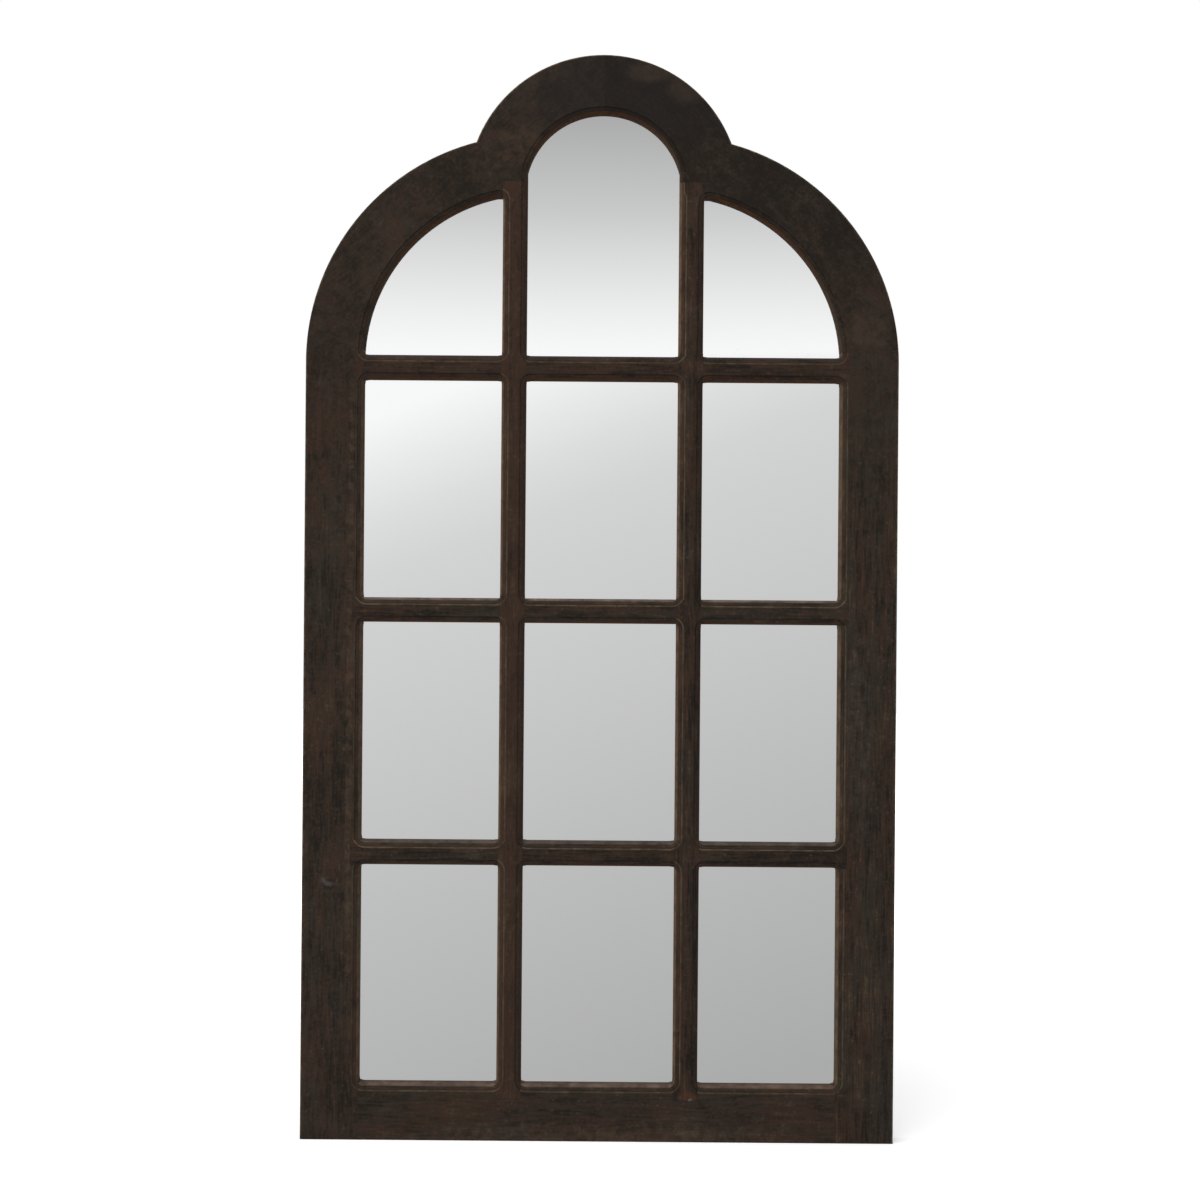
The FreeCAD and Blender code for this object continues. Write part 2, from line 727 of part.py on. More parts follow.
frame_blank = arched_plate("frame_blank", "face_width", "0", "front_face", "frame_depth")
ease_front_edges(frame_blank)
recess_thickness = "back_face - board_face + overrun"
recess = arched_plate("board_recess", "recess_lap", "rail_width - recess_lap", "board_face", recess_thickness)
board_foot = "rail_width - board_lap"
board_blank = arched_plate("board_blank", "board_lap", board_foot, "board_face", "board_thickness")
pane_foot = "rail_width - pane_lap"
arched_pane_plate = arched_plate("arched_pane_plate", "pane_lap", pane_foot, "mirror_face", "pane_thickness")

openings = []
for column in range(len(COLUMNS)):
    for row in range(len(ROWS)):
        openings.append(opening_cutter(column, row))
        mirror_pane(column, row)
all_openings = joined("Part::Compound", "all_openings", openings)

uprights = {side: upright_blank(f"{side}_upright_bar", SIDES[side]) for side in SIDES}
cross_bars = {name: cross_blank(name, number) for number, name in enumerate(CROSS_BARS)}
all_uprights = joined("Part::Compound", "all_uprights", list(uprights.values()))
all_cross_bars = joined("Part::Compound", "all_cross_bars", list(cross_bars.values()))
laps_behind, laps_before = lap_blocks()

dowel_holes = joined("Part::Compound", "dowel_holes", dowels_and_holes())
board_holes = screw_group("backing_screws", "screw", backing_screw_spots())
strap_holes = screw_group("hanger_screws", "hanger_screw", hanger_screw_spots())
shared_tools = (recess, all_openings, dowel_holes, board_holes)

stile_extent = ("face_width", "frame_depth", "stile_height")
for side_name, side in SIDES.items():
    stile_low = "sight_half" if side > 0 else "-half_width"
    stile_tools = (all_cross_bars, *shared_tools, strap_holes)
    member(f"{side_name}_stile", (stile_low, "front_face", "0"), stile_extent, *stile_tools)
    arch_low = ("0" if side > 0 else "-half_width", "front_face", "stile_height")
    arch_extent = ("half_width", "frame_depth", "frame_height - stile_height")
    member(f"{side_name}_arch_half", arch_low, arch_extent, all_uprights, *shared_tools)
rail_extent = ("2 * sight_half", "frame_depth", "rail_width")
member("bottom_rail", ("-sight_half", "front_face", "0"), rail_extent, all_uprights, *shared_tools)

for side_name, blank in uprights.items():
    name = f"{side_name}_upright_bar"
    keep(name, cut(name, blank, laps_behind, all_openings))
for name, blank in cross_bars.items():
    keep(name, cut(name, blank, laps_before, all_openings))
keep("backing_board", cut("backing_board", board_blank, board_holes))

for side_name, side in SIDES.items():
    hanger(side_name, side, strap_holes)
    wall_bumper(side_name, side)

doc.recompute()


def check_and_write():
    """Stop on any failed feature, then write one file for each sub-part."""
    for item in doc.Objects:
        if {"Invalid", "Error"} & set(item.State):
            raise RuntimeError(f"{item.Label} failed: {item.State}")
    for name, item in parts.items():
        if item.Shape.isNull() or not item.Shape.isValid() or not item.Shape.Solids:
            raise RuntimeError(f"{name} has no sound shape")
    os.makedirs("parts", exist_ok=True)
    for name, item in parts.items():
        item.Shape.exportStep(f"parts/{name}.step")
        print(f"{name}: {len(item.Shape.Solids)} solid, {item.Shape.Volume / 1000:.2f} cm3")


check_and_write()
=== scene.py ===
# %% [markdown]
# # An arched window mirror, dressed in Blender
# The mirror is built like a small window: stained timber members, moulded glazing bars and
# twelve separate panes of mirror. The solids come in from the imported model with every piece
# in its place, in metres, so this lesson is about finishes, light and the camera.

import math

import bpy
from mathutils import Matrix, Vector

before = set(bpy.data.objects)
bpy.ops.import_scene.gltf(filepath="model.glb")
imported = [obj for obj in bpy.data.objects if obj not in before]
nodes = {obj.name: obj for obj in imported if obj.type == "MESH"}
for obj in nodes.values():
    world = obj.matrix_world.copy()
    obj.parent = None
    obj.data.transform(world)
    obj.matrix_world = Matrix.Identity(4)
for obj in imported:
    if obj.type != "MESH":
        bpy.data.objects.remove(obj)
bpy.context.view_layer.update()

# %% [markdown]
# ## Sizes to paint by
# A finish that follows the shape needs to know the shape. The frame is symmetrical and made
# of straight lines and three arcs, so a few lengths describe every edge. They could be read
# off the meshes, but the maker's own sizes are clearer. All are in metres.

# %% The mirror's own sizes
MM = 0.001
HALF_WIDTH = 300 * MM
FACE_WIDTH = 58.6 * MM
RAIL_WIDTH = 57 * MM
ROW_HEIGHT = 221 * MM
BAR_WIDTH = 25 * MM
CENTRE_PANE = 154 * MM
SHOULDER_RADIUS = 230 * MM
SPRINGLINE = 788 * MM
STILE_HEIGHT = 800 * MM
ARCH_FOOT = 830 * MM
CROWN_LIFT = 4.9 * MM
CROWN_EASE = 2.5 * MM
FRONT_FACE = -10 * MM
REBATE_DEPTH = 9 * MM
MOULDING_WIDTH = 6.3 * MM
QUIRK_WIDTH = 0.8 * MM
ROUTER_RADIUS = 5 * MM
UPRIGHT_LAP = 15 * MM
BAR_LAP = 10 * MM

SIGHT_HALF = HALF_WIDTH - FACE_WIDTH
SHOULDER_X = HALF_WIDTH - SHOULDER_RADIUS
SHOULDER_SIGHT = SHOULDER_RADIUS - FACE_WIDTH
BAR_INNER = CENTRE_PANE / 2
BAR_OUTER = BAR_INNER + BAR_WIDTH
ROW_PITCH = ROW_HEIGHT + BAR_WIDTH
UPRIGHT_TOP = SPRINGLINE + math.sqrt(SHOULDER_SIGHT**2 - (BAR_OUTER - SHOULDER_X) ** 2)
CROWN_HEIGHT = UPRIGHT_TOP + CROWN_LIFT
CROWN_SIGHT = BAR_INNER + CROWN_EASE
UPRIGHT_MIDDLE = BAR_INNER + BAR_WIDTH / 2
CROSS_MIDDLES = [RAIL_WIDTH + ROW_HEIGHT + BAR_WIDTH / 2 + bar * ROW_PITCH for bar in range(3)]
MIRROR_FACE = FRONT_FACE + REBATE_DEPTH
print("row pitch", round(ROW_PITCH, 4), "m")
print("bars from", round(BAR_INNER, 4), "to", round(BAR_OUTER, 4), "m off the middle")
print("top of the crown", round(CROWN_HEIGHT + CROWN_SIGHT + FACE_WIDTH, 4), "m")

# %% [markdown]
# ## Shader sums in Python
# A procedural finish is mostly arithmetic on positions and noise. Clicking Math nodes together
# hides that arithmetic, so one small class wraps a socket and lets plain Python operators add
# the nodes. Numbers go through Math nodes. Colours and vectors go through Mix and Vector Math,
# because a Math node would turn a colour grey.

# %% The socket class
NOISE_SPREAD = (0.25, 0.75)


class Signal:
    """A socket of a node tree that can be used in sums."""

    def __init__(self, tree, socket=None):
        self.tree = tree
        self.socket = socket

    def node(self, kind, settings=None, inputs=None, output=0):
        """Add any node: its settings first, then the values or links of its sockets."""
        made = self.tree.nodes.new(kind)
        for name, value in (settings or {}).items():
            if name == "stops":
                fill_ramp(made.color_ramp, value)
            else:
                setattr(made, name, value)
        for name, value in (inputs or {}).items():
            if isinstance(value, Signal):
                self.tree.links.new(value.socket, made.inputs[name])
            else:
                made.inputs[name].default_value = value
        return Signal(self.tree, made.outputs[output] if made.outputs else None)

    def maths(self, operation, *values):
        return self.node("ShaderNodeMath", {"operation": operation}, dict(enumerate(values)))

    def __add__(self, other):
        return self.maths("ADD", self, other)

    def __sub__(self, other):
        return self.maths("SUBTRACT", self, other)

    def __rsub__(self, other):
        return self.maths("SUBTRACT", other, self)

    def __mul__(self, other):
        return self.maths("MULTIPLY", self, other)

    def __truediv__(self, other):
        return self.maths("DIVIDE", self, other)

    def __neg__(self):
        return self.maths("MULTIPLY", self, -1)

    def __abs__(self):
        return self.maths("ABSOLUTE", self)

    __radd__ = __add__
    __rmul__ = __mul__

    def least(self, other):
        return self.maths("MINIMUM", self, other)

    def most(self, other):
        return self.maths("MAXIMUM", self, other)

    def length_with(self, other):
        return self.maths("SQRT", self * self + other * other)

    def step(self, low, high):
        """Rise smoothly from 0 at low to 1 at high; fall instead where low is the larger."""
        inputs = {"Value": self, "From Min": low, "From Max": high}
        return self.node("ShaderNodeMapRange", {"interpolation_type": "SMOOTHSTEP"}, inputs)

    def mixed(self, first, second):
        """A colour between two others, with this signal as the share of the second."""
        settings = {"data_type": "RGBA", "clamp_factor": True}
        return self.node("ShaderNodeMix", settings, {0: self, 6: first, 7: second}, 2)

    def split(self):
        """The three parts of a vector."""
        return [self.node("ShaderNodeSeparateXYZ", None, {0: self}, part) for part in range(3)]

    def scaled(self, factors):
        return self.node("ShaderNodeVectorMath", {"operation": "MULTIPLY"}, {0: self, 1: factors})

    def noise(self, detail=4, roughness=0.55, distortion=0.0):
        """Cloudy noise of about unit size in this vector's own units, spread over 0 to 1."""
        shape = {"Scale": 1.0, "Detail": detail, "Roughness": roughness, "Distortion": distortion}
        return self.node("ShaderNodeTexNoise", None, {"Vector": self, **shape}).step(*NOISE_SPREAD)


def fill_ramp(ramp, stops):
    while len(ramp.elements) < len(stops):
        ramp.elements.new(1.0)
    for element, (position, colour) in zip(ramp.elements, stops):
        element.position = position
        element.color = colour


def tint(red, green, blue):
    """A colour written as it looks on a screen, 0 to 255, as Blender's linear numbers."""
    parts = [value / 255 for value in (red, green, blue)]
    return (*[p / 12.92 if p <= 0.04045 else ((p + 0.055) / 1.055) ** 2.4 for p in parts], 1.0)


print("a mid brown as linear numbers:", [round(v, 4) for v in tint(53, 44, 38)])


# %% A new finish, and the end of one
def new_finish(name):
    """An empty material, and the signal that starts its sums."""
    material = bpy.data.materials.new(name)
    material.use_nodes = True
    material.node_tree.nodes.clear()
    return material, Signal(material.node_tree)


def shade(start, **inputs):
    """Close a finish with one shader, whose sockets are named with _ for a space."""
    named = {name.replace("_", " "): value for name, value in inputs.items()}
    shader = start.node("ShaderNodeBsdfPrincipled", None, named)
    start.node("ShaderNodeOutputMaterial", None, {"Surface": shader})


def raised(start, height, strength, distance):
    """A normal that shows a height as relief."""
    inputs = {"Strength": strength, "Distance": distance, "Height": height}
    return start.node("ShaderNodeBump", None, inputs)


print("finishes start empty and end in one shader")

# %% [markdown]
# ## How far a point is from an opening
# The moulding round each pane gets a painted highlight on its arris and painted shade in its
# step. Painting those by hand on a texture would need an unwrapped mesh. Instead the shader works
# out, from a point's place alone, how far it lies outside the nearest opening. The opening is
# where three things hold at once: a column, a row and the arched outline. The largest of their
# distances is the distance to the opening, and the router's round corners come from joining two
# of them as the sides of a right angle.

# %% Distances from the outline and from the openings
STEEP = 10


def outside_panes(x, z):
    """Distance outside the outline that holds all the panes: FACE_WIDTH at the outer edge."""
    across = abs(x)
    straight = (across - SIGHT_HALF).most(RAIL_WIDTH - z).most(z - SPRINGLINE)
    shoulder = (across - SHOULDER_X).length_with(z - SPRINGLINE) - SHOULDER_SIGHT
    crown = x.length_with(z - CROWN_HEIGHT) - CROWN_SIGHT
    return straight.least(shoulder).least(crown)


def outside_opening(x, z, reach):
    """Distance outside the nearest single opening, with the router's round at its corners.

    Below the arch's foot the stiles bound the outer columns, and above it the arched outline
    does. At that height one gives way to the other STEEP times as fast as the height changes.
    """
    across = abs(x)
    stile_side = across - SIGHT_HALF - (z - ARCH_FOOT).most(0) * STEEP
    arch_side = reach - (ARCH_FOOT - z).most(0) * STEEP
    column = (across - BAR_INNER).least((BAR_OUTER - across).most(stile_side))
    risen = z.least(STILE_HEIGHT) - RAIL_WIDTH
    climb = risen.maths("FLOORED_MODULO", risen, ROW_PITCH)
    row = (climb - ROW_HEIGHT).least(ROW_PITCH - climb).most(RAIL_WIDTH - z)
    sideways = column + ROUTER_RADIUS
    upward = row.most(arch_side) + ROUTER_RADIUS
    corner = sideways.most(0).length_with(upward.most(0)) - ROUTER_RADIUS
    return corner.most(reach)


print("distances ready: outline, openings")

# %% [markdown]
# ## Stained timber
# The frame is soft timber, stained dark brown by brush, rubbed back, and worn. Close up the
# stain is a quiet mottling between reddish and olive brown, with soft streaks along the grain,
# a few pale specks and grey scuffs. A painted highlight pales the bars' upper and left arrises,
# and painted shade darkens the others. The slopes are darkened, and painted light makes them
# paler by the way they face, with a painted warm light by the glass on those that look down.
# One finish serves all ten members: each turns it so that the grain runs along its own length,
# moves it so that no two members match, and sets its own tone. An image of wood would repeat and
# would need unwrapping; noise stretched along the grain does neither.

# %% Colours of the stain
STAIN_DARK = tint(30, 25, 20)
STAIN_RED = tint(54, 39, 30)
STAIN_OLIVE = tint(45, 41, 34)
STAIN_PALE = tint(75, 61, 46)
SPECK = tint(96, 86, 70)
# painted warm light from below on slopes that look down
UNDER_LIT_UMBER = tint(76, 46, 22)
# the pale of worn arrises, also used for painted highlights and painted light in the step
PALE_WEAR_AND_HIGHLIGHT = tint(108, 93, 74)
# painted light from above on slopes that look up
TOP_LIT_SLOPE_TAN = tint(104, 87, 76)
# painted light from the side on slopes that look left and right
SIDE_LIT_SLOPE_WARM = tint(112, 89, 67)
# more colours of painted light from above on slopes that look up
TOP_LIT_SLOPE_ASH = tint(108, 96, 86)
TOP_LIT_SLOPE_GREY = tint(86, 76, 69)
TOP_LIT_SLOPE_NAVY = tint(52, 50, 52)
SCUFF_GREY = tint(84, 79, 73)
PORE = tint(24, 20, 18)
# near black brown: dark joints, darkened slopes, painted shade and a painted shadow
NEAR_BLACK_BROWN = tint(22, 19, 18)
print("stain from", [round(v, 4) for v in STAIN_DARK[:3]], "to", [round(v, 4) for v in STAIN_PALE[:3]])


# %% The brushed stain: mottling, soft short streaks, specks
# cells of noise in a metre: twice across the grain, then along it
FINE_CELLS = (300, 300, 300)
MOTTLE_CELLS = (95, 95, 95)
CLOUD_CELLS = (17, 17, 17)
HUE_CELLS = (230, 230, 70)
PATCH_CELLS = (40, 40, 9)
FIBRE_CELLS = (500, 500, 40)
STREAK_CELLS = (140, 140, 17)
SCUFF_CELLS = (95, 95, 44)


def brushed(place, grain, tone, ruddy, streaky):
    """The stain's colour along one grain, with its fibre and its mottling for the relief.

    The sums for the streaks and for the depth take away half of their noises' weights, so that
    noise spreads the tone about its middle.
    """
    fine = place.scaled(FINE_CELLS).noise(2, 0.5)
    mottle = place.scaled(MOTTLE_CELLS).noise(4, 0.6, 0.4)
    cloud = place.scaled(CLOUD_CELLS).noise(4, 0.55, 0.4)
    hue = grain.scaled(HUE_CELLS).noise(4, 0.6)
    patch = grain.scaled(PATCH_CELLS).noise(3, 0.5)
    fibre = grain.scaled(FIBRE_CELLS).noise(3, 0.55)
    streak = grain.scaled(STREAK_CELLS).noise(4, 0.6, 0.3)
    lengthwise = (fibre * 0.26 + streak * 0.28 - 0.27) * streaky
    depth = fine * 0.15 + mottle * 0.2 + cloud * 0.24 + lengthwise + tone - 0.295
    olive = hue * 0.55 + (patch - 0.5) * 0.6 * streaky + 0.23 - ruddy
    body = olive.step(0.0, 1.0).mixed(STAIN_RED, STAIN_OLIVE)
    stain = depth.step(0.1, 0.52).mixed(STAIN_DARK, body)
    stain = depth.step(0.5, 1.0).mixed(stain, STAIN_PALE)
    specks = fine.step(0.78, 1.0) * mottle.step(0.35, 0.85) * 0.2 * streaky
    stain = specks.mixed(stain, SPECK)
    scuffs = grain.scaled(SCUFF_CELLS).noise(6, 0.7).step(0.7, 0.97) * cloud.step(0.45, 0.9) * 0.2
    stain = scuffs.mixed(stain, SCUFF_GREY)
    return stain, fibre, mottle


print("brush ready")


# %% Wear, painted light and painted shade along the moulding
# each pair says where a trace begins and where it is full; the gain below strengthens the painted
# highlight on the lit arrises
LIT_ARRIS_GAIN = 3.2
BREAK_CELLS = (90, 90, 90)
FACING_FRONT = (0.75, 0.95)
FACING_UP = (0.1, 0.75)
FACING_SIDE = (0.2, 0.8)
ARRIS_EDGE = MOULDING_WIDTH + 2 * MM
ARRIS_CREST = (MOULDING_WIDTH - 0.4 * MM, MOULDING_WIDTH + 0.2 * MM)
STEP_EDGE = (MOULDING_WIDTH + 0.1 * MM, MOULDING_WIDTH - 0.3 * MM)
# how far the painted shade reaches beside the arrises of the shaded side
SHADE_EDGE = MOULDING_WIDTH + 6 * MM
SHELF = (3 * MM, 4.5 * MM)
GLASS_BAND = (4 * MM, 1.5 * MM)
REBATE_BAND = (3 * MM, 1 * MM)
OUTER_ARRIS = (FACE_WIDTH - 2.2 * MM, FACE_WIDTH - 0.8 * MM)
NEAR_FRONT = (FRONT_FACE + 2.5 * MM, FRONT_FACE + 0.5 * MM)
NEAR_MIRROR = (MIRROR_FACE - 1.6 * MM, MIRROR_FACE)


def wear_and_painted_light(stain, place, facing, crisp, slopes, lit_side, unlit_shade):
    """Darkened slopes, painted light on the slopes by the way they face, worn arrises with a painted
    highlight, painted shade in the step and a painted shadow by the glass.

    The lit side is 1 on the edges that get a painted highlight and 0 on those that get painted
    shade, or None where a member has no such sides. The last argument is how much painted shade
    the face gets beside the shaded edges.
    """
    top_light, under_light, slope_darkening, (left_facing_light, right_facing_light) = slopes
    x, y, z = place.split()
    normal_x, normal_y, normal_z = facing.split()
    reach = outside_panes(x, z)
    opening = outside_opening(x, z, reach)
    front = (-normal_y).step(*FACING_FRONT)
    breaks = place.scaled(BREAK_CELLS).noise(4, 0.6)
    sloping = (1 - front) * opening.step(ARRIS_EDGE, MOULDING_WIDTH)
    looks_up = normal_z.step(*FACING_UP) * sloping
    looks_down = (-normal_z).step(*FACING_UP) * sloping
    by_glass = opening.step(*GLASS_BAND)
    looks_left = (-normal_x).step(*FACING_SIDE) * sloping * (0.5 + by_glass * 0.5)
    looks_right = normal_x.step(*FACING_SIDE) * sloping
    # every slope is darkened
    stain = (sloping * (0.5 + breaks) * slope_darkening).mixed(stain, NEAR_BLACK_BROWN)
    # painted light from the side on the slopes that look left and right
    side_light = (looks_left * left_facing_light + looks_right * right_facing_light) * (0.5 + breaks)
    stain = side_light.mixed(stain, SIDE_LIT_SLOPE_WARM)
    # painted light from above on the slopes that look up
    stain = (looks_up * (0.3 + breaks * 0.65) * (0.5 + by_glass * 0.5)).mixed(stain, top_light)
    # painted warm light from below on the slopes that look down, by the glass
    stain = (looks_down * by_glass * (0.3 + breaks * 0.5)).mixed(stain, under_light)

    edge = breaks.step(0.3, 0.85)
    # the outer arris is worn pale and gets a painted highlight
    outer = reach.step(*OUTER_ARRIS) * y.step(*NEAR_FRONT) * (0.1 + edge * 0.4)
    # a painted highlight along the arris round each opening
    inner_highlight = opening.step(ARRIS_EDGE, MOULDING_WIDTH + 0.3 * MM) * opening.step(*ARRIS_CREST) * front
    inner_highlight = inner_highlight * (0.11 + edge * 0.14) * crisp
    in_step = opening.step(*STEP_EDGE)
    # members without a lit side get painted shade in the step all round
    shaded_side = 1.0
    if lit_side is not None:
        # only the lit side keeps the painted highlight; the other side gets painted shade
        inner_highlight = inner_highlight * lit_side * LIT_ARRIS_GAIN
        shaded_side = 1 - lit_side
        # painted shade on the face beside the arrises of the shaded side
        beside = opening.step(SHADE_EDGE, MOULDING_WIDTH) * front
        stain = (beside * shaded_side * unlit_shade).mixed(stain, NEAR_BLACK_BROWN)
        # painted light in the step on the lit side
        shelf = opening.step(*SHELF) * in_step
        stain = (shelf * lit_side * crisp * 0.08).mixed(stain, PALE_WEAR_AND_HIGHLIGHT)
    # the wear of the outer arris and the painted highlight of both arrises
    wear_and_highlight = outer.most(inner_highlight) * normal_y.step(0.3, -0.2)
    stain = wear_and_highlight.mixed(stain, PALE_WEAR_AND_HIGHLIGHT)
    # painted shade in the step, and a painted shadow on the rebate by the glass
    quirk = opening.step(MOULDING_WIDTH - 2 * QUIRK_WIDTH, MOULDING_WIDTH - QUIRK_WIDTH) * in_step
    rebate = y.step(*NEAR_MIRROR) * opening.step(*REBATE_BAND)
    stain = (quirk * 0.4 * crisp * shaded_side).most(rebate * 0.6).mixed(stain, NEAR_BLACK_BROWN)
    return stain, wear_and_highlight, front, breaks


print("wear ready")


# %% The stained timber finish
ARCH_STREAKS = 0.25
STILE_SPAN = (STILE_HEIGHT - ROW_HEIGHT, STILE_HEIGHT)
ARCH_SPAN = (STILE_HEIGHT, UPRIGHT_TOP)
JOINT_LINE = (1.2 * MM, 0.2 * MM)
MARK_EDGE = (1.1, 0.45)
LIT_SIDE_BLEND = 2 * MM
TIMBER_GLOSS = 0.12


def timber(name, lean, tone, ruddy, streaky, crisp, slopes, middle, drift, joints, touches):
    """Stain for one member, with painted light and shade on its moulding.

    lean turns the grain from upright towards +X, in degrees. tone says how pale the stain is at
    the foot and at the top of a span of heights. middle is an axis, the place on it that parts
    the arrises with a painted highlight from those with painted shade, and how much painted shade
    the face gets beside the latter.
    """
    material, start = new_finish(name)
    place = start.node("ShaderNodeTexCoord", None, None, "Object")
    facing = start.node("ShaderNodeTexCoord", None, None, "Normal")
    turn = {"Location": drift, "Rotation": (0, math.radians(-lean), 0)}
    grain = start.node("ShaderNodeMapping", {"vector_type": "POINT"}, {"Vector": place, **turn})
    x, _, z = place.split()
    low, high, span = tone
    tone = low + z.step(*span) * (high - low)
    near_arch = z.step(*STILE_SPAN) * abs(x).step(SIGHT_HALF - MM, SIGHT_HALF + MM)
    streaky = streaky + near_arch * (ARCH_STREAKS - streaky)
    stain, fibre, mottle = brushed(place, grain, tone, ruddy, streaky)
    # one side of the middle gets a painted highlight on its arrises, the other side painted shade
    lit_side, unlit_shade = None, 0.0
    if middle is not None:
        axis, where, unlit_shade = middle
        above = where - x if axis == "x" else z - where
        lit_side = above.step(-LIT_SIDE_BLEND, LIT_SIDE_BLEND)
    # from here the colour holds painted light and shade as well as the stain
    stain, wear_and_highlight, front, breaks = wear_and_painted_light(stain, place, facing, crisp, slopes, lit_side, unlit_shade)

    for axis, where, strength in joints:
        gap = abs({"x": x, "z": z}[axis] - where)
        line = gap.step(*JOINT_LINE) * front * (0.3 + breaks * 0.7) * strength
        stain = line.mixed(stain, NEAR_BLACK_BROWN)
    for (at_x, at_z), (half_x, half_z), colour, strength, grainy in touches:
        ragged = (breaks - 0.5) * grainy
        away = ((x - at_x) / half_x).length_with((z - at_z) / half_z) + ragged
        patchy = 1 - mottle.step(0.8, 0.3) * grainy
        stain = (away.step(*MARK_EDGE) * front * patchy * strength).mixed(stain, colour)

    sheen = 0.52 + (1 - fibre) * 0.1 + mottle * 0.1 - wear_and_highlight * 0.1
    height = fibre * 0.45 + mottle * 0.4
    relief = raised(start, height, strength=0.3, distance=0.2 * MM)
    shade(start, Base_Color=stain, Roughness=sheen, Normal=relief, Specular_IOR_Level=TIMBER_GLOSS)
    return material


print("timber finish ready")


# %% [markdown]
# ## The ten timber members
# Stiles and uprights have upright grain, the rail and the cross bars level grain, and the two
# arch halves are sawn from boards whose grain climbs towards the crown. Each joint shows as
# a fine dark line where two members meet. A few marks are single: a knot with a warm ring in
# the left stile, a crown warmer on its left, a rubbed patch low on the right arch, a reddish end
# where an upright is let into the rail. They could be modelled, but they are flat on the real
# thing too. A broad patch of painted shade darkens the crown, mostly on its right.

# %% Grain, tone and marks of each member
# a joint: the axis it lies across, its place there, how dark its line is
BAR_SIDES = [side * edge for side in (-1, 1) for edge in (BAR_INNER, BAR_OUTER)]
BAR_ENDS = [side * (SIGHT_HALF + BAR_LAP) for side in (-1, 1)]
UPRIGHT_ENDS = [("z", RAIL_WIDTH - UPRIGHT_LAP, 0.5), ("z", UPRIGHT_TOP + UPRIGHT_LAP, 0.7)]
CROSS_JOINTS = [("x", edge, 0.35) for edge in BAR_SIDES + BAR_ENDS]
STILE_JOINT = ("z", STILE_HEIGHT, 0.12)
ARCH_JOINTS = [("x", 0.0, 0.06), STILE_JOINT]
RAIL_JOINTS = [("x", -SIGHT_HALF, 0.3), ("x", SIGHT_HALF, 0.3)]

# a mark: its centre and half its size in x and z, its colour, its strength, how ragged it is
KNOT = ((-272 * MM, 259 * MM), (9 * MM, 9 * MM), PORE, 0.75, 0.5)
KNOT_RING = ((-272 * MM, 257 * MM), (14 * MM, 17 * MM), tint(66, 50, 40), 0.3, 0.7)
KNOT_GREY = ((-272 * MM, 262 * MM), (8 * MM, 6 * MM), SCUFF_GREY, 0.5, 1.0)
WORN_SHOULDER = ((268 * MM, 820 * MM), (26 * MM, 22 * MM), tint(78, 66, 54), 0.18, 0.6)
RED_END = ((97 * MM, 47 * MM), (13 * MM, 7 * MM), tint(84, 48, 34), 0.5, 0.8)
PALE_DOT = ((95 * MM, 43 * MM), (4 * MM, 2.2 * MM), tint(112, 100, 88), 0.6, 0.7)
PALE_FOOT = ((20 * MM, 4 * MM), (230 * MM, 18 * MM), tint(80, 70, 58), 0.3, 0.7)
TAN_BAND = ((-253 * MM, 430 * MM), (4.5 * MM, 400 * MM), tint(84, 69, 53), 0.28, 0.8)
# painted shade over the crown, where the lamp overhead lights it most
CROWN_SHADE = ((25 * MM, 1056 * MM), (125 * MM, 60 * MM), tint(25, 23, 23), 0.74, 0.4)
CROWN_TAN = ((-85 * MM, 1002 * MM), (52 * MM, 30 * MM), tint(64, 50, 39), 0.42, 0.7)
CROWN_RIM = ((50 * MM, 1082 * MM), (34 * MM, 12 * MM), tint(72, 57, 44), 0.34, 0.3)
CROWN_EDGE = ((84 * MM, 1064 * MM), (26 * MM, 16 * MM), tint(72, 57, 44), 0.3, 0.3)
STILE_SCUFF = ((262 * MM, 420 * MM), (16 * MM, 120 * MM), SCUFF_GREY, 0.12, 0.7)

# slopes: painted light from above where they look up, painted warm light where they look down, how
# much every slope is darkened, painted light on those that look left and right
BAR_SLOPES = (TOP_LIT_SLOPE_NAVY, UNDER_LIT_UMBER, 0.35, (0.48, 0.05))
MIDDLE_BAR_SLOPES = (TOP_LIT_SLOPE_ASH, UNDER_LIT_UMBER, 0.3, (0.15, 0.15))
LOW_BAR_SLOPES = (TOP_LIT_SLOPE_GREY, UNDER_LIT_UMBER, 0.25, (0.15, 0.15))
LEFT_STILE_SLOPES = (TOP_LIT_SLOPE_NAVY, UNDER_LIT_UMBER, 0.0, (0.35, 0.3))
RIGHT_STILE_SLOPES = (TOP_LIT_SLOPE_NAVY, UNDER_LIT_UMBER, 0.0, (0.42, 0.3))
ARCH_SLOPES = (TOP_LIT_SLOPE_NAVY, UNDER_LIT_UMBER, 0.7, (0.2, 0.15))
RAIL_SLOPES = (TOP_LIT_SLOPE_TAN, UNDER_LIT_UMBER, 0.05, (0.2, 0.2))

# the rail and the stiles lie wholly on the lit side of their middles, so all their arrises get the
# painted highlight
RAIL_MIDDLE = ("z", 0.0, 0.0)
STILE_MIDDLE = ("x", HALF_WIDTH, 0.0)
LEFT_STILE_MARKS = [TAN_BAND, KNOT_RING, KNOT, KNOT_GREY]
RIGHT_ARCH_MARKS = [CROWN_SHADE, CROWN_RIM, CROWN_EDGE, WORN_SHOULDER]


def even(tone):
    """The same tone all along a member."""
    return (tone, tone, STILE_SPAN)


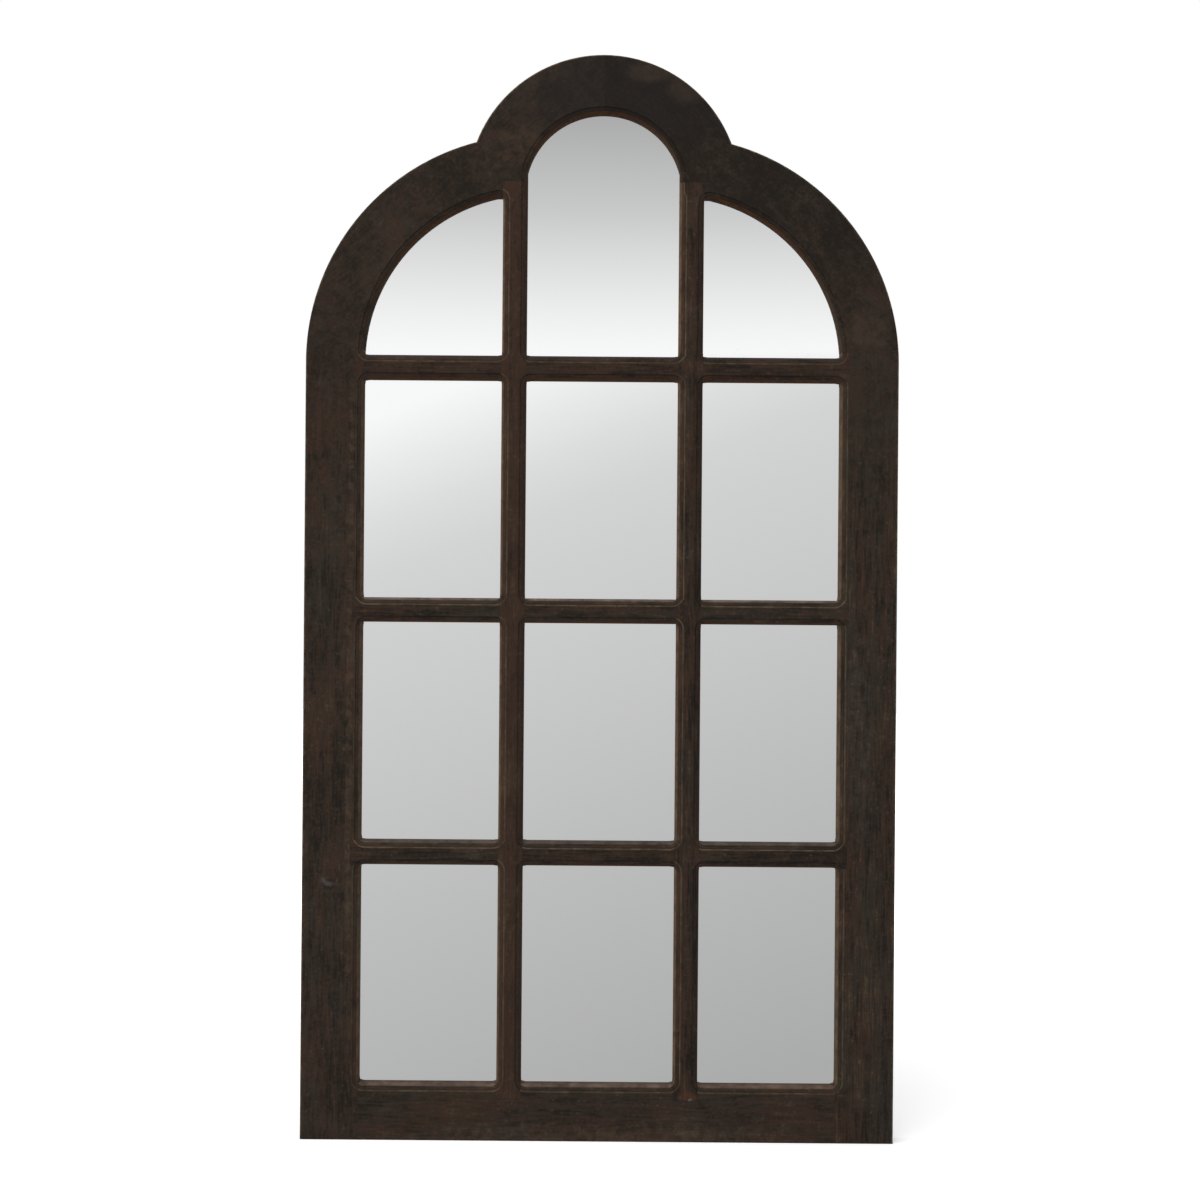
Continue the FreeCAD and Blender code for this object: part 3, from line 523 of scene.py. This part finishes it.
# drift moves the noise, so that no two members match
MEMBERS = {
    "left_stile": dict(
        lean=0, tone=(0.4, 0.34, STILE_SPAN), ruddy=0.08, streaky=1.0, crisp=0.15,
        slopes=LEFT_STILE_SLOPES, middle=STILE_MIDDLE, drift=(0.31, 0.0, 0.07),
        joints=[STILE_JOINT], touches=LEFT_STILE_MARKS,
    ),
    "right_stile": dict(
        lean=0, tone=(0.44, 0.36, STILE_SPAN), ruddy=0.0, streaky=1.3, crisp=0.5,
        slopes=RIGHT_STILE_SLOPES, middle=STILE_MIDDLE, drift=(1.73, 0.2, 0.41),
        joints=[STILE_JOINT], touches=[STILE_SCUFF],
    ),
    "bottom_rail": dict(
        lean=90, tone=even(0.45), ruddy=0.12, streaky=1.0, crisp=0.6,
        slopes=RAIL_SLOPES, middle=RAIL_MIDDLE, drift=(0.2, 0.6, 2.9),
        joints=RAIL_JOINTS, touches=[PALE_FOOT],
    ),
    "left_arch_half": dict(
        lean=50, tone=(0.33, 0.34, ARCH_SPAN), ruddy=0.03, streaky=ARCH_STREAKS, crisp=0.05,
        slopes=ARCH_SLOPES, middle=None, drift=(3.1, 0.4, 1.7),
        joints=ARCH_JOINTS, touches=[CROWN_SHADE, CROWN_TAN],
    ),
    "right_arch_half": dict(
        lean=-50, tone=(0.37, 0.22, ARCH_SPAN), ruddy=0.0, streaky=ARCH_STREAKS, crisp=0.05,
        slopes=ARCH_SLOPES, middle=None, drift=(0.9, 0.9, 4.4),
        joints=ARCH_JOINTS, touches=RIGHT_ARCH_MARKS,
    ),
    "left_upright_bar": dict(
        lean=0, tone=even(0.49), ruddy=0.9, streaky=0.8, crisp=0.5,
        slopes=BAR_SLOPES, middle=("x", -UPRIGHT_MIDDLE, 0.15), drift=(5.3, 0.1, 0.3),
        joints=UPRIGHT_ENDS, touches=[],
    ),
    "right_upright_bar": dict(
        lean=0, tone=even(0.42), ruddy=0.35, streaky=1.3, crisp=0.6,
        slopes=BAR_SLOPES, middle=("x", UPRIGHT_MIDDLE, 0.25), drift=(4.2, 0.3, 1.1),
        joints=UPRIGHT_ENDS, touches=[RED_END, PALE_DOT],
    ),
    "lower_cross_bar": dict(
        lean=90, tone=even(0.39), ruddy=0.12, streaky=1.2, crisp=0.85,
        slopes=LOW_BAR_SLOPES, middle=("z", CROSS_MIDDLES[0], 0.06), drift=(2.2, 0.7, 5.2),
        joints=CROSS_JOINTS, touches=[],
    ),
    "middle_cross_bar": dict(
        lean=90, tone=even(0.39), ruddy=0.12, streaky=1.2, crisp=0.85,
        slopes=MIDDLE_BAR_SLOPES, middle=("z", CROSS_MIDDLES[1], 0.06), drift=(1.4, 0.5, 6.6),
        joints=CROSS_JOINTS, touches=[],
    ),
    "upper_cross_bar": dict(
        lean=90, tone=even(0.41), ruddy=0.35, streaky=0.9, crisp=0.5,
        slopes=BAR_SLOPES, middle=("z", CROSS_MIDDLES[2], 0.06), drift=(0.6, 0.8, 7.7),
        joints=CROSS_JOINTS, touches=[],
    ),
}


def dress(node, material):
    """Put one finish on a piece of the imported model."""
    slots = nodes[node].data.materials
    slots.clear()
    slots.append(material)


for node, traits in MEMBERS.items():
    dress(node, timber(f"stain_{node}", **traits))
print("stained", len(MEMBERS), "members")

# %% [markdown]
# ## Silvered panes
# A pane is glass with silver behind it. Modelling the glass layer would double every edge; a
# smooth metal shader gives the same picture at arm's length. A true mirror is never quite even,
# so a breath of haze varies the roughness, and the silver dulls a little near the rebate.

# %% The silver finish
SILVER = (0.93, 0.935, 0.935, 1.0)
DULL_SILVER = (0.86, 0.87, 0.87, 1.0)


def silvered(name):
    material, start = new_finish(name)
    place = start.node("ShaderNodeTexCoord", None, None, "Object")
    x, _, z = place.split()
    haze = place.scaled((7, 7, 7)).noise(4, 0.6)
    specks = place.scaled((160, 160, 160)).noise(3, 0.6).step(0.82, 0.98)
    opening = outside_opening(x, z, outside_panes(x, z))
    dulled = opening.step(-2 * MM, 0.5 * MM) * (0.1 + haze * 0.3) + specks * 0.05
    colour = dulled.mixed(SILVER, DULL_SILVER)
    shade(start, Base_Color=colour, Metallic=1.0, Roughness=0.015 + haze * 0.02 + specks * 0.03)
    return material


silver = silvered("silvered_glass")
panes = [node for node in nodes if node.startswith("mirror_")]
for node in panes:
    dress(node, silver)
print("silvered", len(panes), "panes")

# %% [markdown]
# ## The back: board, steel and rubber
# Behind the panes lies a sheet of hardboard, rough side out, with the print of the wire screen
# it was pressed on. Screws, straps and rings are zinc-plated steel, a little cloudy, and the
# bumpers are black rubber. The back is seldom seen, but the mirror may be turned to any side,
# so it is finished like the front.

# %% Hardboard, with the print of its screen
SCREEN_WAVES = 3600


def hardboard(name):
    material, start = new_finish(name)
    place = start.node("ShaderNodeTexCoord", None, None, "Object")
    x, _, z = place.split()
    flecks = place.scaled((700, 700, 700)).noise(4, 0.65)
    fibres = place.scaled((120, 120, 260)).noise(5, 0.7, 0.6)
    cloud = place.scaled((14, 14, 14)).noise(4, 0.55)
    colour = (fibres * 0.6 + cloud * 0.4).mixed(tint(98, 70, 46), tint(138, 104, 72))
    colour = (flecks.step(0.6, 0.95) * 0.4).mixed(colour, tint(70, 48, 32))
    weave = x.maths("SINE", x * SCREEN_WAVES) * z.maths("SINE", z * SCREEN_WAVES)
    relief = raised(start, weave * 0.5 + fibres, strength=0.5, distance=0.2 * MM)
    rough = 0.72 + flecks * 0.15
    shade(start, Base_Color=colour, Roughness=rough, Normal=relief, Specular_IOR_Level=0.25)
    return material


dress("backing_board", hardboard("hardboard"))
print("board finished")


# %% Zinc-plated steel, black rubber and raw beech
ZINC_CLOUDING = 24


def zinc(name, across, bright):
    """Plated steel: across gives the size of its drawn lines, bright its level from 0 to 255."""
    material, start = new_finish(name)
    place = start.node("ShaderNodeTexCoord", None, None, "Object")
    drawn = place.scaled(across).noise(4, 0.6)
    cloud = place.scaled((260, 260, 260)).noise(4, 0.6)
    spots = place.scaled((900, 900, 900)).noise(3, 0.6).step(0.72, 0.95)
    dull = bright - ZINC_CLOUDING
    colour = cloud.mixed(tint(dull, dull, dull), tint(bright, bright, bright - 2))
    colour = (spots * 0.5).mixed(colour, tint(132, 126, 118))
    rough = 0.26 + drawn * 0.16 + spots * 0.2
    relief = raised(start, drawn, strength=0.2, distance=0.05 * MM)
    shade(start, Base_Color=colour, Metallic=1.0, Roughness=rough, Normal=relief)
    return material


def rubber(name):
    material, start = new_finish(name)
    place = start.node("ShaderNodeTexCoord", None, None, "Object")
    dust = place.scaled((240, 240, 240)).noise(5, 0.65)
    grit = place.scaled((1500, 1500, 1500)).noise(2, 0.5)
    colour = (dust.step(0.45, 1.0) * 0.6).mixed(tint(30, 30, 31), tint(66, 64, 61))
    relief = raised(start, grit, strength=0.3, distance=0.08 * MM)
    rough = 0.62 + dust * 0.2
    shade(start, Base_Color=colour, Roughness=rough, Normal=relief, Specular_IOR_Level=0.3)
    return material


def beech(name):
    material, start = new_finish(name)
    place = start.node("ShaderNodeTexCoord", None, None, "Object")
    fibre = place.scaled((500, 500, 60)).noise(4, 0.6)
    colour = fibre.mixed(tint(176, 138, 96), tint(205, 170, 128))
    relief = raised(start, fibre, strength=0.3, distance=0.1 * MM)
    shade(start, Base_Color=colour, Roughness=0.6 + fibre * 0.15, Normal=relief)
    return material


drawn_wire = zinc("zinc_ring", (2200, 2200, 300), 208)
rolled_strip = zinc("zinc_strap", (1800, 1800, 120), 184)
turned_head = zinc("zinc_screw", (1200, 1200, 1200), 150)
black_rubber = rubber("black_rubber")
raw_beech = beech("raw_beech")
for side in ("left", "right"):
    dress(f"{side}_hanger_ring", drawn_wire)
    dress(f"{side}_hanger_strap", rolled_strip)
    dress(f"{side}_wall_bumper", black_rubber)
for node in ("backing_screws", "hanger_screws"):
    dress(node, turned_head)
for node in ("corner_dowels", "arch_dowels", "crown_dowels"):
    dress(node, raw_beech)
print("back finished:", sum(len(o.data.materials) for o in nodes.values()), "finishes in use")

# %% [markdown]
# ## The room that the mirror sees
# A mirror shows what stands before it, so its grey comes from the room behind the camera. The
# photograph shows a soft bright band a little above eye level that fades up and down. A real
# room could be modelled, but a sky with that one gradient, shown to reflected rays, gives the same
# panes and follows any view. To the camera the background is plain white, and the light that falls
# on the timber is even.

# %% The sky
# a stop: a height in the sky, from -0.5 to 0.5, and its level of grey
ROOM_STOPS = [(-0.34, 0.432), (-0.2735, 0.473), (-0.1516, 0.547), (-0.0516, 0.614), (0.0374, 0.671)]
ROOM_STOPS += [(0.071, 0.70), (0.1045, 0.77), (0.138, 0.876), (0.1716, 1.0)]
CEILING_STOPS = [(0.16, 1.0), (0.1817, 0.919), (0.2228, 0.731), (0.2432, 0.628)]
CEILING_STOPS += [(0.30, 0.432), (0.45, 0.5)]
ROOM_TILT = 0.385
CEILING_LINE = (0.143, 0.160)
DAYLIGHT = (0.64, 0.64, 0.645, 1.0)


def grey(level):
    return (level, level, level, 1.0)


def graded(start, height, levels):
    """Greys that change with height, which runs from -0.5 to 0.5."""
    stops = [(at + 0.5, grey(level)) for at, level in levels]
    return start.node("ShaderNodeValToRGB", {"stops": stops}, {0: height + 0.5})


world = bpy.data.worlds.new("studio")
bpy.context.scene.world = world
world.use_nodes = True
world.node_tree.nodes.clear()
sky = Signal(world.node_tree)
heading = sky.node("ShaderNodeTexCoord", None, None, "Generated")
right, _, up = heading.split()
room = graded(sky, up - right * ROOM_TILT, ROOM_STOPS)
ceiling = graded(sky, up, CEILING_STOPS)
reflected = up.step(*CEILING_LINE).mixed(room, ceiling)
seen = sky.node("ShaderNodeLightPath", None, None, "Is Camera Ray")
mirrored = sky.node("ShaderNodeLightPath", None, None, "Is Glossy Ray")
passed = sky.node("ShaderNodeLightPath", None, None, "Is Transmission Ray")
light = mirrored.most(passed).mixed(DAYLIGHT, reflected)
light = seen.mixed(light, grey(1.0))
background = sky.node("ShaderNodeBackground", None, {"Color": light, "Strength": 1.0})
sky.node("ShaderNodeOutputWorld", None, {"Surface": background})
print("sky with", len(ROOM_STOPS) + len(CEILING_STOPS), "levels")

# %% [markdown]
# ## Floor and lamps
# The mirror stands on a plain pale floor, which keeps its soft shadow. Reflected rays pass through
# the floor, so that the panes show the same gradient below eye level. Two broad lamps give the
# moulding its shape: one overhead, which catches every slope that looks up, and one from the left.

# %% The floor
FLOOR_HALF = 6.0
FLOOR_FADE = (0.45, 1.3)
FLOOR_GREY = 0.86
FLOOR_GLOW = 0.3


def pale_floor(name):
    material, start = new_finish(name)
    seen = start.node("ShaderNodeLightPath", None, None, "Is Camera Ray")
    mirrored = start.node("ShaderNodeLightPath", None, None, "Is Glossy Ray")
    matt = start.node("ShaderNodeBsdfDiffuse", None, {"Color": grey(FLOOR_GREY)})
    x, y, _ = start.node("ShaderNodeTexCoord", None, None, "Object").split()
    away = x.length_with(y).step(*FLOOR_FADE)
    glowing = seen * (FLOOR_GLOW + away * (1 - FLOOR_GLOW))
    brightness = glowing.mixed(grey(0.0), grey(1.0))
    glow = start.node("ShaderNodeEmission", None, {"Color": brightness, "Strength": 1.0})
    lit = start.node("ShaderNodeAddShader", None, {0: matt, 1: glow})
    clear = start.node("ShaderNodeBsdfTransparent")
    surface = start.node("ShaderNodeMixShader", None, {0: mirrored, 1: lit, 2: clear})
    start.node("ShaderNodeOutputMaterial", None, {"Surface": surface})
    return material


near, far = -FLOOR_HALF, FLOOR_HALF
corners = [(near, near, 0), (far, near, 0), (far, far, 0), (near, far, 0)]
floor_mesh = bpy.data.meshes.new("floor")
floor_mesh.from_pydata(corners, [], [(0, 1, 2, 3)])
floor_mesh.materials.append(pale_floor("pale_floor"))
floor = bpy.data.objects.new("floor", floor_mesh)
bpy.context.scene.collection.objects.link(floor)
print("floor", 2 * FLOOR_HALF, "m square")


# %% The lamps
def soft_lamp(name, power, size, place, target):
    lamp = bpy.data.lights.new(name, "AREA")
    lamp.energy = power
    lamp.size = size
    holder = bpy.data.objects.new(name, lamp)
    holder.location = place
    holder.rotation_euler = (Vector(target) - Vector(place)).to_track_quat("-Z", "Y").to_euler()
    holder.visible_glossy = False
    bpy.context.scene.collection.objects.link(holder)


MIDDLE = (0, 0, 0.55)
soft_lamp("overhead", power=34, size=1.4, place=(-0.3, -0.45, 2.6), target=MIDDLE)
soft_lamp("left_window", power=26, size=1.6, place=(-2.5, -1.3, 1.5), target=MIDDLE)
print("two lamps")

# %% [markdown]
# ## The camera
# The photograph looks at the mirror straight on, from about a metre and a half, at the middle of
# its height, and it leans by half a degree. The distance shows in the glazing bars: their
# inner sides come into view towards the edges, by an amount that fixes how far away the eye is.
# The lens then follows from the width that the picture takes in.

# %% Place the camera
EYE_DISTANCE = 1.556
EYE_HEIGHT = 0.5479
EYE_SIDE = -0.5 * MM
PICTURE_WIDTH = 1213.3 * MM
SENSOR = 36.0
LEAN = math.radians(-0.46)

camera_data = bpy.data.cameras.new("eye")
camera_data.sensor_width = SENSOR
camera_data.lens = SENSOR * EYE_DISTANCE / PICTURE_WIDTH
camera = bpy.data.objects.new("eye", camera_data)
camera.location = (EYE_SIDE, FRONT_FACE - EYE_DISTANCE, EYE_HEIGHT)
camera.rotation_euler = (math.radians(90), LEAN, 0)
bpy.context.scene.collection.objects.link(camera)
bpy.context.scene.camera = camera
bpy.context.scene.view_settings.view_transform = "Standard"
print("lens", round(camera_data.lens, 2), "mm")
